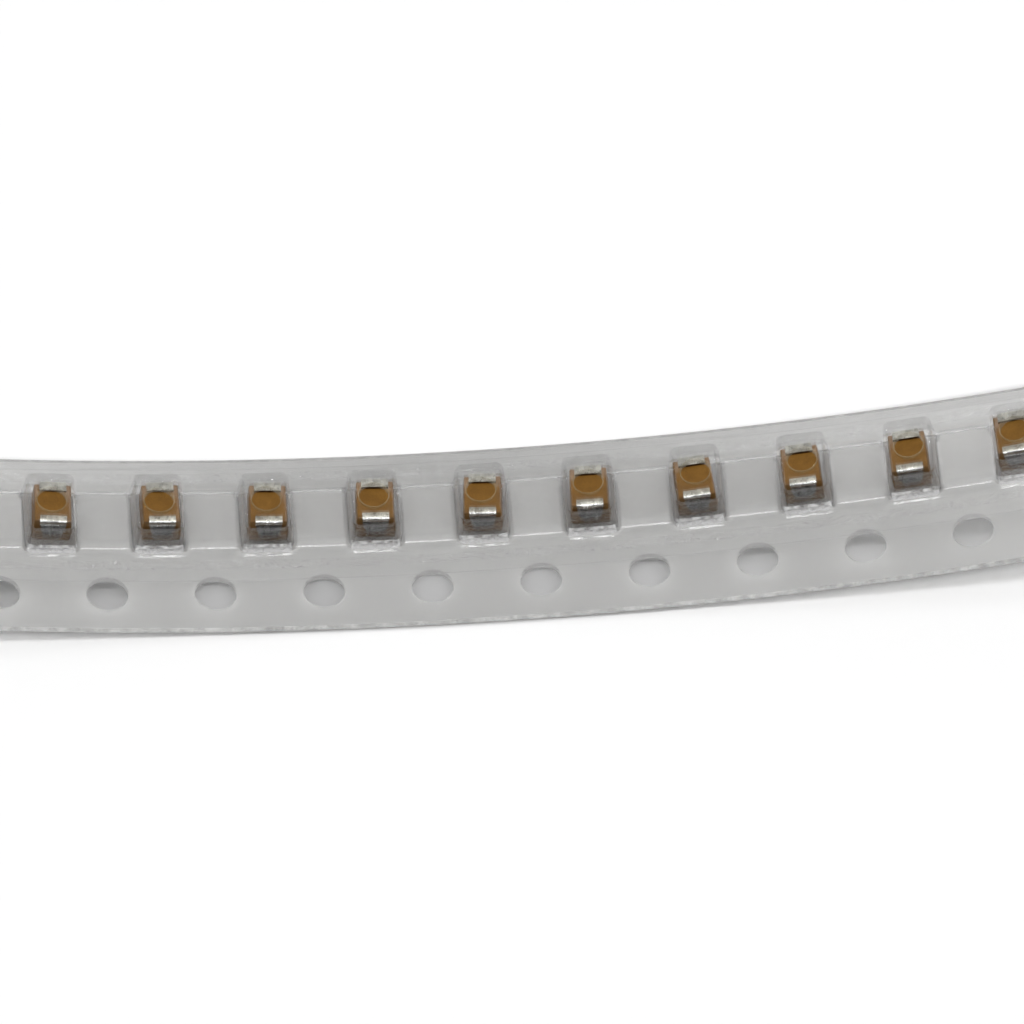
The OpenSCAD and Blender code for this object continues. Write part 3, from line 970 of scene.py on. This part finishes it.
CHIP_L, CHIP_W, CHIP_H = 2.05, 1.43, 1.16
TERM_W, TERM_T, FOOT_L, NEAR_FOOT_L, BEND_R = 1.0, 0.11, 0.50, 0.33, 0.20
BODY_H, BODY_L, PART_H, BODY_DRAFT = 1.05, 1.83, 0.48, 0.04
SEAT_GAP = 0.006


def chip_place(i):
    """From a chip's own frame (mm, length along Y, mounting face up) to the row frame."""
    dx, dy, yaw = LIE[i]
    s = pocket_s(i) + dx
    a = s / CURL_R
    turn = math.radians(yaw)
    c, sn = math.cos(turn), math.sin(turn)

    def place(x, y, z):
        x, y, z = x * c - y * sn, x * sn + y * c, z - SHEET_T + SEAT_GAP
        y += ROW_Y + dy
        r = CURL_R - z
        # a rigid chip: straight in its own frame, tangent to the curl at its middle
        px = r * math.sin(a) + x * math.cos(a)
        pz = AXIS_Z - r * math.cos(a) + x * math.sin(a)
        return Vector((px * MM, y * MM, pz * MM))

    return place


def make_body(i):
    b = Builder()
    n_c = 5

    def half(z):
        if z <= PART_H:
            k = (PART_H - z) / BODY_H * 1.2
        else:
            k = (z - PART_H) / (BODY_H - PART_H)
        return CHIP_W / 2 - BODY_DRAFT * k, BODY_L / 2 - BODY_DRAFT * k

    def ring(z, inset, scale=1.0):
        a_, b_ = half(z)
        a_, b_ = (a_ - inset), (b_ - inset)
        r = max(0.02, 0.055 - inset * 0.4)
        out = []
        for q, (cx, cy) in enumerate(((1, 1), (-1, 1), (-1, -1), (1, -1))):
            nxt = ((-1, 1), (-1, -1), (1, -1), (1, 1))[q]
            for k in range(n_c + 1):
                g = math.radians(90 * q + 90 * k / n_c)
                out.append((cx * (a_ - r) + r * math.cos(g), cy * (b_ - r) + r * math.sin(g)))
            x0, y0 = out[-1]
            g = math.radians(90 * q + 90)
            x1, y1 = nxt[0] * (a_ - r) + r * math.cos(g), nxt[1] * (b_ - r) + r * math.sin(g)
            n = 9 if q in (0, 2) else 13
            out += [(x0 + (x1 - x0) * j / n, y0 + (y1 - y0) * j / n) for j in range(1, n)]
        return [b.add(x * scale, y * scale, z + (0.004 * lump(x * scale * 2 + i * 7, y * scale * 2, 0.9, 81.0) if scale < 0.97 else 0.0)) for x, y in out]

    e = 0.035
    rings = [ring(0.0, e, 0.001), ring(0.0, e, 0.35), ring(0.0, e, 0.7), ring(0.0, e, 0.93), ring(0.0, e)]
    for deg in (30, 60, 90):
        t = math.radians(deg)
        rings.append(ring(e * (1 - math.cos(t)), e * (1 - math.sin(t))))
    rings += [ring(0.22, 0.0), ring(0.37, 0.0), ring(PART_H - 0.012, 0.0), ring(PART_H, -0.009), ring(PART_H + 0.012, 0.0), ring(0.62, 0.0), ring(0.82, 0.0)]
    top, e = BODY_H - 0.004, 0.05
    for deg in (0, 30, 60, 90):
        t = math.radians(deg)
        rings.append(ring(top - e + e * math.sin(t), e * (1 - math.cos(t))))
    rings += [ring(top, e, 0.93), ring(top, e, 0.7), ring(top, e, 0.35), ring(top, e, 0.001)]
    b.skin(rings)

    def pick(c, n, _):
        """The end faces of the moulding take the darker copy of the epoxy, painted shade; a band round the parting line
        keeps the ordinary colour.
        """
        return 1 if abs(n.y) > 0.6 and not PART_H - 0.11 < c.z < PART_H + 0.02 else 0

    return b.make(f"chip_{i + 1:02d}_moulding", chip_place(i), merge=0.006, pick=pick)


def make_terminal(i, end):
    """One terminal: a plated strip that folds from the mounting face down the end of the moulding."""
    b = Builder()
    seed = i * 2.7 + (0.0 if end > 0 else 40.0)
    y1, z1, t = CHIP_L / 2, CHIP_H, TERM_T
    foot = FOOT_L if end > 0 else NEAR_FOOT_L
    # (outer point, inner point, half width, slot) along the strip; the slot only finds where the bend's painted
    # highlight and the tab begin
    path = []
    lift_ = 0.004 + 0.003 * lump(i, end, 0.7, 91.0)
    for k in range(7):
        f = k / 6
        y = y1 - foot + (foot - BEND_R) * f
        up_ = lift_ * (1 - f) * 0.0
        path.append(((y, z1 + up_), (y, z1 - t + 0.002 + up_), TERM_W / 2, 0))
    for deg in range(10, 91, 10):
        g = math.radians(deg)
        path.append((
            (y1 - BEND_R + BEND_R * math.sin(g), z1 - BEND_R + BEND_R * math.cos(g)),
            (y1 - BEND_R + (BEND_R - t) * math.sin(g), z1 - BEND_R + (BEND_R - t) * math.cos(g)),
            TERM_W / 2 - (0.02 * deg / 90),
            3 if deg <= 20 else 0 if deg <= 40 else 1,
        ))
    z_top, z_bot = z1 - BEND_R, PART_H
    for k in range(1, 9):
        f = k / 8
        z = z_top + (z_bot - z_top) * f
        half = (TERM_W / 2 - 0.02) - 0.125 * f
        drop = z - z_bot
        if drop < 0.09:  # rounded lower corners
            half -= 0.09 - math.sqrt(max(0.0, 0.09 ** 2 - (0.09 - drop) ** 2))
        path.append(((y1, z), (y1 - t, z), half, 1))
    m = 14
    outer, inner = [], []
    for (oy, oz), (iy, iz), half, _ in path:
        ro, ri = [], []
        for j in range(m + 1):
            x = -half + 2 * half * j / m
            edge = 1 - abs(2 * j / m - 1)
            soft = 0.012 * max(0.0, 1 - edge / 0.15)  # the sheared edges are a little rounded
            k = 0.006 * lump(x * 1.0 + seed, (oy - oz), 0.28, 95.0) + 0.003 * lump(x + seed, (oy - oz) * 1.7, 0.12, 97.0)
            ny, nz = oy - iy, oz - iz
            n = math.hypot(ny, nz) or 1
            d = min(0.0, k) - soft
            ro.append(b.add(x, end * (oy + ny / n * d), oz + nz / n * d))
            ri.append(b.add(x, end * iy, iz))
        outer.append(ro)
        inner.append(ri)
    first_tab = next(k for k, q in enumerate(path) if q[3] == 1)
    first_bend = next(k for k, q in enumerate(path) if k > 6 and q[3] == 0)
    b.mark(3)
    b.skin(outer[: first_bend + 1], closed=False)
    # the bend in the lighter tin: a painted highlight
    b.mark(0)
    b.skin(outer[first_bend : first_tab + 1], closed=False)
    # just under the bend, a band in the near-black material: a painted dark reflection
    b.mark(2)
    b.skin(outer[first_tab : first_tab + 4], closed=False)
    # the tab in the darker tin: painted shade
    b.mark(1)
    b.skin(outer[first_tab + 3 :], closed=False)
    b.mark(0)
    b.skin(inner, closed=False, flip=True)
    b.skin([[r[0] for r in outer], [r[0] for r in inner]], closed=False)
    b.skin([[r[-1] for r in outer], [r[-1] for r in inner]], closed=False)
    b.skin([outer[-1], inner[-1]], closed=False)
    # the foot's cut end in the near-black material: the bare cut edge, darkened further with painted shade
    b.mark(2)
    b.skin([outer[0], inner[0]], closed=False)
    return b.make(f"chip_{i + 1:02d}_{'anode' if end > 0 else 'cathode'}_strip", chip_place(i), merge=0.0, sharp=50)


for i in range(POCKETS):
    o = make_body(i)
    o.data.materials.append(M_EPOXY)
    o.data.materials.append(M_EPOXY_SHADED)
    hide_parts(f"chip_{i + 1:02d}_body")
    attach(o, "root")
    for end, name in ((1, "anode"), (-1, "cathode")):
        o = make_terminal(i, end)
        for m_ in (M_BEND_HIGHLIGHT, M_SHADED_TAB, M_CUT_END_AND_SHADE, M_FOOT):
            o.data.materials.append(m_)
        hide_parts(f"chip_{i + 1:02d}_{name}")
        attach(o, "root")

for o, node, slot in ((carrier, "carrier_tape", "carrier_plastic"), (cover, "cover_tape", "cover_film")):
    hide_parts(node)
    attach(o, "root")
